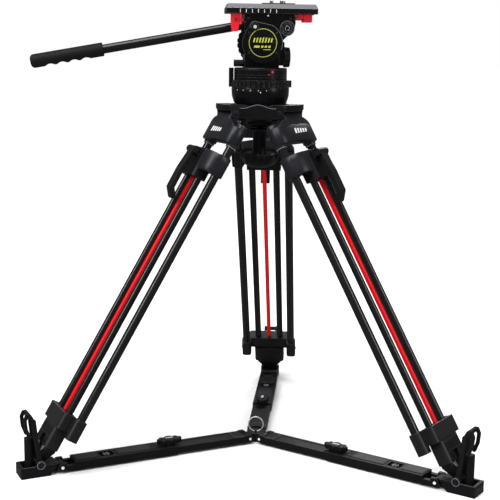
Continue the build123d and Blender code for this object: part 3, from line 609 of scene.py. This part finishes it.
def crown_pieces(leg):
    """A wall beside this leg, and the hood and lip over its hinge."""
    at = arm_frame(leg)
    wall = at @ turn(60, "Z")
    piece("crown_wall_" + leg, "crown", "cast_black", "cast_black", wall,
          loft(wall_rings(WALL_SPAN, -2.5, 0.0, 592.8, 0.0)))
    # A light line along the wall's wavy top edge: a painted highlight.
    piece("crown_edge_highlight_" + leg, "crown", "cast_black", "painted_highlight_grey", wall,
          loft(wall_rings(WALL_SPAN - 1, -0.9, 0.12, None, 0.12)))
    hood = []
    for side in (1, -1):
        upright = shift(0, side * 28.6, 0) @ turn(90, "X") @ Matrix.Diagonal((1, 1, -side, 1))
        hood.append(prism(HOOD_OUTLINE, 0.0, 2.2, 0.7, upright))
    piece("crown_hood_" + leg, "crown", "cast_black", "cast_black", at, *hood)
    path = [(r, -t) for r, t in reversed(LIP_PATH)] + LIP_PATH[1:]
    lip = [[(r - 3.0, t, 608.4), (r - 0.4, t, 608.4), (r, t, 609.2), (r, t, 616.0), (r - 0.8, t, 617.3),
            (r - 3.0, t, 617.3)] for r, t in path]
    piece("crown_lip_" + leg, "crown", "cast_black", "cast_black", at, loft(lip))
    # A light line along the lip's upper edge: a painted highlight.
    line = [[(r - 1.2, t, 617.15), (r - 0.35, t, 616.9), (r - 0.35, t, 617.35), (r - 1.2, t, 617.6)]
            for r, t in path]
    piece("crown_lip_highlight_" + leg, "crown", "cast_black", "painted_highlight_grey", at, loft(line))


def tie_down_piece():
    grip = [(505.4, 9, 0), (506.0, 14, 0), (508.0, 21, 0), (511.5, 26.5, 0), (516.0, 29.8, 0.2),
            (520.5, 31.0, 0.8), (523.0, 31.6, 1.8), (524.5, 32.0, 2.4), (528.5, 32.0, 2.4),
            (530.2, 31.0, 2.2), (531.2, 28.5, 1.6), (531.0, 22.0, 0), (530.0, 15.0, 0)]
    stem = [(531.0, 13.0, 0), (534.0, 12.4, 0), (567.0, 12.0, 0), (569.5, 13.0, 0)]
    flange = [(571.0, 18.4, 0), (571.8, 19.4, 0), (573.2, 19.4, 0), (573.8, 18.6, 0)]
    knob = piece("tie_down_grip", "tie_down", "black_plastic", "cast_black", Matrix(),
                 fluted(grip + stem + flange))
    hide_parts("tie_down_knob")


# ------------------------------------------------------------ legs
EAR_ROUND, TONGUE_CLEAR, EAR_EDGE = 9.1, 12.0, 27.1
YOKE_HALF = [(-8.0, 36.0), (-21.0, 39.0), (-22.4, 42.0), (-22.4, 50.0), (-21.0, 54.5), (-17.0, 57.2),
             (-9.0, 57.7), (-3.5, 56.4), (0.8, 53.6), (3.8, 49.0), (5.8, 43.0), (7.3, 35.0), (8.3, 26.0),
             (8.9, 15.0), (9.0, 5.0)]
COLLAR_HALF = [(-19.5, 56.4), (-16.5, 57.3), (-9.0, 57.4), (-3.0, 56.9), (2.6, 54.9), (7.6, 51.3),
               (12.0, 45.6), (15.0, 38.8), (17.2, 31.0), (18.2, 22.0), (18.7, 11.0)]


def mirrored(half):
    return [(x, -y) for x, y in reversed(half)]


def yoke_body():
    """The body that wraps both tubes."""
    line = YOKE_HALF + mirrored(YOKE_HALF)
    levels = ((-49.4, 1.6), (-48.8, 0.6), (-47.6, 0.0), (-19.2, 0.0), (-18.0, 0.7), (-17.5, 1.8))
    return loft([[(-7 + (x + 7) * (1 - inset / 16), y * (1 - inset / 50), z) for x, y in line]
                 for z, inset in levels])


def yoke_shoulder(side):
    """The slope from the neck down to one tube."""
    steps = []
    for i in range(9):
        part = i / 8
        y, top = 26.5 + 22.5 * part, -5.8 - 11.9 * part ** 1.3
        front = 8.7 - 4.6 * part ** 2
        steps.append([(-8.5, side * y, -19), (front, side * y, -19), (front, side * y, top - 0.8),
                      (front - 0.8, side * y, top), (-8.5, side * y, top)])
    return loft(steps)


def yoke_ear(side):
    """One ear around the hinge pin; only the round part is chamfered."""
    foot = -18.0
    profile = [(-8.5, foot)] + arc(EAR_ROUND, 205, -8, 26) + [(9.0, foot)]
    rings = []
    for y, inset in ((TONGUE_CLEAR, 0.0), (EAR_EDGE - 0.8, 0.0), (EAR_EDGE, 0.7)):
        shrink = 1 - inset / 9
        rings.append([(x * shrink, side * y, z if z < -17 else z * shrink) for x, z in profile])
    return loft(rings)


def tube_cap(side):
    profile = [(0, -11.6), (7.4, -11.6), (8.9, -12.2), (9.5, -13.6), (9.5, -53.0), (9.1, -54.0), (7.7, -54.0),
               (7.7, -50.0), (0, -50.0)]
    return lathe(profile, 48, shift(OUTER_TUBE_X, side * OUTER_TUBE_Y, 0))


def neck_skin():
    """The curved skin that closes the outboard side between the ears."""
    skin = [(9.1, -18.5)] + arc(9.2, 0, 57, 14) + arc(8.75, 57, 0, 14) + [(8.65, -18.5)]
    return loft([[(x, y, z) for x, z in skin] for y in (-TONGUE_CLEAR, TONGUE_CLEAR)])


def yoke_highlight_ring_shapes():
    """Bright edges at the lower and upper end of both tube caps, painted as highlights."""
    lower = [(7.8, -54.1), (9.2, -54.1), (9.55, -53.7), (9.55, -52.9), (9.2, -52.6), (7.8, -52.6)]
    upper = [(7.0, -11.7), (7.4, -11.3), (8.6, -11.8), (8.6, -12.3), (7.0, -12.3)]
    return [lathe(profile, 48, shift(OUTER_TUBE_X, side * OUTER_TUBE_Y, 0))
            for profile in (lower, upper) for side in (1, -1)]


def collar_shape():
    """A smooth barrel skin over the outboard side of the sliding collar."""
    section = ((-72.6, -1.2), (-72.6, -0.1), (-73.6, 0.5), (-82.0, 0.95), (-99.0, 0.95), (-107.4, 0.5),
               (-108.4, -0.1), (-108.4, -1.2))
    line = COLLAR_HALF + [(18.8, 0.0)] + mirrored(COLLAR_HALF)
    return loft([[(x + away.x * out, y + away.y * out, z) for z, out in section]
                 for x, y, away in square_to(line)])


def yoke_pieces(leg):
    at, body = leg_frame(leg), "leg_" + leg
    casting = piece("yoke_casting_" + leg, body, "yoke_grey", "yoke_grey", at, yoke_body(), neck_skin(),
                    *[make(side) for side in (1, -1) for make in (yoke_shoulder, yoke_ear, tube_cap)])
    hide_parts("yoke_" + leg)
    # Light rings at both ends of the tube caps: painted highlights.
    piece("yoke_highlight_rings_" + leg, body, "yoke_grey", "painted_highlight_grey", at, *yoke_highlight_ring_shapes())
    piece("yoke_mark_" + leg, body, "yoke_grey", "white_print", at @ spot(9, 2, -31.3, 0),
          *[prism(bar, -0.2, 0.25, 0.08) for bar in mark_bars(40.0, 9.5, 5)])


def leg_side_pieces(leg, side):
    """Screws, collars and seals on one side of a leg."""
    at, outward = leg_frame(leg), 90 * side
    tag = ("l" if side > 0 else "r") + "_" + leg
    piece("hinge_socket_" + tag, "crown", "steel", "cast_black",
          arm_frame(leg) @ spot(HINGE_R, side * 30.8, HINGE_Z + 6, outward), cap_screw(4.2, 0.8))
    piece("yoke_clamp_screw_" + tag, "leg_" + leg, "steel", "cast_black",
          at @ spot(-8.9, side * 38.5, -38, INBOARD), cap_screw(2.6, 1.2))
    piece("bridge_screw_" + tag, "leg_" + leg, "steel", "cast_black",
          at @ spot(-14, side * 57.0, -592, outward), cap_screw(2.6, 1.2))
    collar = [(7.9, -72.9), (10.2, -72.9), (10.2, -71.4), (9.6, -70.8), (8.2, -70.8), (7.9, -71.2)]
    piece("tube_collar_" + tag, "mid_" + leg, "black_plastic", "black_plastic",
          at @ shift(OUTER_TUBE_X, side * OUTER_TUBE_Y, 0), lathe(collar, 48))
    seal = [(5.2, -640.0), (8.2, -640.0), (8.2, -640.3), (7.6, -640.35), (5.6, -640.35), (5.2, -640.3)]
    piece("foot_seal_" + tag, "mid_" + leg, "black_plastic", "rubber_black",
          at @ shift(INNER_TUBE_X, side * INNER_TUBE_Y, 0), lathe(seal, 40))


def leg_pieces(leg):
    at = leg_frame(leg)
    yoke_pieces(leg)
    piece("collar_skin_" + leg, "mid_" + leg, "yoke_grey", "yoke_grey", at, collar_shape())
    for side in (1, -1):
        leg_side_pieces(leg, side)
    # A thin silver line along the bridge's top edge: a painted highlight.
    piece("bridge_edge_highlight_" + leg, "leg_" + leg, "steel", "painted_highlight_silver", at,
          plank((16.6, 17.15), (-37, 37), (-574.3, -573.85), 0.15))
    piece("block_seam_" + leg, "mid_" + leg, "black_plastic", "black_plastic", at @ spot(16, 0, 0, 0),
          plank((-26, 26), (-622, -606), (-0.2, 0.5), 0.4),
          *[plank(span, (-636, -623.5), (-0.2, 0.5), 0.4) for span in ((9.4, 26), (-26, -9.4))])
    # Silver wedges at the foot's top corners: a painted glint.
    wedge = [(9.6, -641.2), (21, -641.2), (15, -650.5), (9.6, -650.5)]
    other_wedge = [(-y, z) for y, z in wedge]
    piece("foot_wedge_" + leg, "foot_" + leg, "plate_grey", "painted_highlight_silver", at @ spot(12, 0, 0, 0),
          prism(wedge, 0, 0.8, 0.2), prism(other_wedge, 0, 0.8, 0.2))


# ------------------------------------------------------------ floor spreader
def arm_side_pieces(leg, side):
    """Pin heads, and painted highlights round the foot pin and along the shoe's upper edge, on one side of an
    arm.
    """
    at, outward = arm_frame(leg), 90 * side
    tag = ("l" if side > 0 else "r") + "_" + leg
    piece("tie_pin_" + tag, "arm_outer_" + leg, "black_plastic", "white_nylon",
          at @ spot(PIN_R, side * ARM_HALF, PIN_Z, outward), disc(2.7, 0.7, 0.4, 32))
    piece("hub_pin_" + tag, "hub", "black_plastic", "white_nylon",
          at @ spot(ARM_HINGE_R, side * 17.2, PIN_Z, outward), disc(2.3, 0.6, 0.3, 32))
    pivot = at @ spot(FOOT_R, side * ARM_HALF, FOOT_Z, outward)
    piece("foot_pin_" + tag, "shoe_" + leg, "steel", "cast_black", pivot, cap_screw(4.6, 1.0))
    # A light ring round the foot pin and a light line along the shoe's upper edge: painted highlights.
    piece("foot_ring_" + tag, "shoe_" + leg, "black_plastic", "painted_highlight_grey", pivot,
          lathe(ring_profile(6.0, 7.0, -0.3, 0.5, 0.2), 48))
    piece("shoe_highlight_rail_" + tag, "shoe_" + leg, "black_plastic", "painted_highlight_grey", at,
          plank((FOOT_R - 10, SHOE_END - 4), sorted((side * 17.9, side * 18.5)), (18.6, 19.15), 0.1))


def arm_top_pieces(leg):
    """What lies on top of the arm and its shoe."""
    at, outer, shoe = arm_frame(leg), "arm_outer_" + leg, "shoe_" + leg
    ribs = [plank((196.5 + 3.6 * i, 198.5 + 3.6 * i), (-13.2, 13.2), (18.5, 19.7), 0.5) for i in range(4)]
    piece("arm_ribs_" + leg, outer, "black_plastic", "black_plastic", at, *ribs)
    piece("arm_collar_" + leg, outer, "black_plastic", "black_plastic", at,
          plank((161.2, 166.0), (-ARM_HALF, ARM_HALF), (17.4, 18.9), 0.6))
    panels = [plank(span, (-12, 12), (18.6, 19.0), 0.3) for span in ((200, 268), (307, 343))]
    piece("arm_panels_" + leg, outer, "black_plastic", "panel_grey", at, *panels)
    hatch = [plank((379.5 + 3.2 * i, 381.3 + 3.2 * i), (-14.0, 14.0), (18.9, 19.5), 0.3) for i in range(5)]
    piece("shoe_hatch_" + leg, shoe, "black_plastic", "panel_grey", at, *hatch)
    piece("shoe_end_" + leg, shoe, "black_plastic", "panel_grey", at @ spot(SHOE_END, 0, 9.5, 0),
          plank((-14, 14), (-5.0, 5.0), (-0.2, 0.6), 0.5))
    # A thin light line round the arm cover's outline: a painted highlight.
    corner = [(37 + x, 3.5 + y) for x, y in arc(12.0, 0, 90, 10)]
    outline = [(29.5, 15.5)] + list(reversed(corner)) + [(x, -y) for x, y in corner] + [(29.5, -15.5)]
    piece("arm_cover_highlight_" + leg, "arm_inner_" + leg, "black_plastic", "painted_highlight_grey", at,
          raised_line(outline, 0.3, 16.0, 16.33))
    bars = [plank(span, (-6, 6), (16.5, 17.4), 0.3) for span in ((284, 287), (290, 292))]
    piece("arm_latch_" + leg, outer, "steel", "painted_highlight_grey", at,
          plank((281, 295), (-1.2, 1.2), (16.5, 17.3), 0.3), *bars)


def wing_pieces(leg):
    at, wing = arm_frame(leg), "wing_" + leg
    piece("wing_mark_" + leg, wing, "black_plastic", "white_print", at @ shift(WING_R, 0, 29.45),
          *[prism(bar, -0.2, 0.2, 0.08) for bar in mark_bars(14.0, 5.0, 4)])
    studs = []
    for i in range(14):
        angle = 2 * math.pi * i / 14
        place = shift(WING_R + 16.6 * math.cos(angle), 6.9 * math.sin(angle), 28.3)
        studs.append(disc(1.5, 0.6, 0.3, 16, place))
    piece("wing_rim_" + leg, wing, "black_plastic", "black_plastic", at, *studs)


badge_pieces()
rosette_pieces()
plate_lever_pieces()
plate_pieces()
housing_pieces()
base_pieces()
cheek_screw_pieces()
dial_pieces()
tie_down_piece()
for leg in LEGS:
    crown_pieces(leg)
    leg_pieces(leg)
    for side in (1, -1):
        arm_side_pieces(leg, side)
    arm_top_pieces(leg)
    wing_pieces(leg)


# ------------------------------------------------------------ floor, light and camera
def studio_floor():
    mesh = bmesh.new()
    rows = [[mesh.verts.new(point) for point in circle(radius, -0.0004, 96)]
            for radius in (0.5, 2.0, 6.0, 18.0, 60.0)]
    mesh.faces.new(rows[0])
    join_rows(mesh, rows)
    bmesh.ops.recalc_face_normals(mesh, faces=mesh.faces)
    data = bpy.data.meshes.new("studio_floor")
    mesh.to_mesh(data)
    mesh.free()
    data.materials.append(finish_look("studio_floor", (0.93, 0.93, 0.93), 0.7, grain=60, bump=0.0,
                                      mottle=0.004, edge_highlight=0.0, specular=0.1))
    floor = bpy.data.objects.new("studio_floor", data)
    bpy.context.scene.collection.objects.link(floor)
    floor.visible_glossy = False


def studio_world(lit, seen):
    """White walls that the camera sees brighter than they light the object."""
    world = bpy.data.worlds.new("studio")
    bpy.context.scene.world = world
    world.use_nodes = True
    tree = world.node_tree
    walls = tree.nodes["Background"]
    walls.inputs["Color"].default_value = (1.0, 1.0, 1.0, 1)
    path = tree.nodes.new("ShaderNodeLightPath")
    strength = number_range(tree, path.outputs["Is Camera Ray"], 0.0, 1.0, lit, seen)
    link(tree, strength, walls.inputs["Strength"])


def ceiling_light():
    data = bpy.data.lights.new("ceiling_light", "SUN")
    data.energy, data.angle = 3.6, math.radians(50)
    lamp = bpy.data.objects.new("ceiling_light", data)
    lamp.rotation_euler = (math.radians(22), math.radians(-14), 0)
    bpy.context.scene.collection.objects.link(lamp)


def softbox(name, place, size, power):
    data = bpy.data.lights.new(name, "AREA")
    data.shape = "RECTANGLE"
    data.size, data.size_y = size
    data.energy = power
    lamp = bpy.data.objects.new(name, data)
    bpy.context.scene.collection.objects.link(lamp)
    lamp.location = place
    lamp.rotation_euler = (LIGHT_TARGET - Vector(place)).to_track_quat("-Z", "Y").to_euler()


def photo_camera():
    """The camera at the photo's angle: turned to the side, pitched down and slightly rolled."""
    azimuth, pitch, roll = math.radians(4.14), math.radians(10.36), math.radians(0.76)
    distance, height = 1.9438, 0.7036
    forward = Vector((-math.sin(azimuth) * math.cos(pitch), math.cos(azimuth) * math.cos(pitch),
                      -math.sin(pitch)))
    level_right = Vector((math.cos(azimuth), math.sin(azimuth), 0))
    level_up = level_right.cross(forward)
    right = level_right * math.cos(roll) + level_up * math.sin(roll)
    up = right.cross(forward)
    lens = bpy.data.cameras.new("camera")
    lens.lens, lens.sensor_width = 79.34, 36.0
    lens.shift_x, lens.shift_y = -0.0162, 0.0094
    lens.clip_end = 200.0
    camera = bpy.data.objects.new("camera", lens)
    bpy.context.scene.collection.objects.link(camera)
    place = Vector((distance * math.sin(azimuth), -distance * math.cos(azimuth), height))
    axes = Matrix((right, up, -forward)).transposed().to_4x4()
    camera.matrix_world = Matrix.Translation(place) @ axes
    bpy.context.scene.camera = camera


LIGHT_TARGET = Vector((0, 0, 0.5))
studio_floor()
studio_world(lit=0.16, seen=1.0)
ceiling_light()
softbox("key_softbox", (-2.4, -2.2, 2.4), (0.7, 1.6), 46)
softbox("fill_softbox", (2.7, -1.6, 1.7), (0.6, 1.8), 30)
softbox("rim_softbox", (0.6, 2.6, 2.2), (1.6, 0.8), 40)
photo_camera()
bpy.context.scene.view_settings.view_transform = "Standard"
